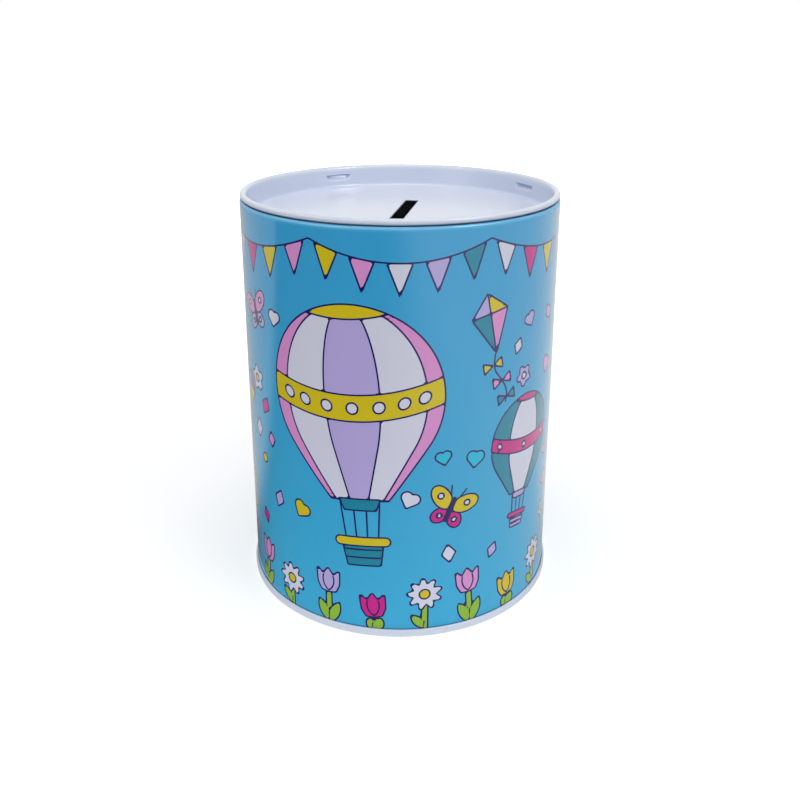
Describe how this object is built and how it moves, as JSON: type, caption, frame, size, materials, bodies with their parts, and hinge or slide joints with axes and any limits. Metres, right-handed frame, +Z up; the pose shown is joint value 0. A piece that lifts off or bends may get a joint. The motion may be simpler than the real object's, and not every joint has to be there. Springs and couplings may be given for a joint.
{
  "type": "tin money box",
  "caption": "Round printed tin money box with a double-seamed base and a recessed snap-in lid that has a coin slot and lifts off to take the coins out.",
  "frame": {"origin": "centre of the foot, on the plane that the tin stands on", "axes": "+Z up along the tin's axis; the coin slot runs along Y and the side seam is at +Y, the back"},
  "size_m": [0.1016, 0.1016, 0.1293],
  "materials": {
    "printed_tinplate": "lithographed tinplate, gloss varnish over a sky blue ground with a coloured print",
    "white_enamel": "white stoving enamel on tinplate, gloss"
  },
  "bodies": {
    "tin": {"printed_body": "printed_tinplate", "seamed_base": "white_enamel"},
    "lid": {"slotted_lid": "white_enamel"}
  },
  "joints": [
    {"name": "lid_lift", "type": "slide", "parent": "tin", "child": "lid", "axis": [0, 0, 1], "range_m": [0, 0.04]}
  ]
}
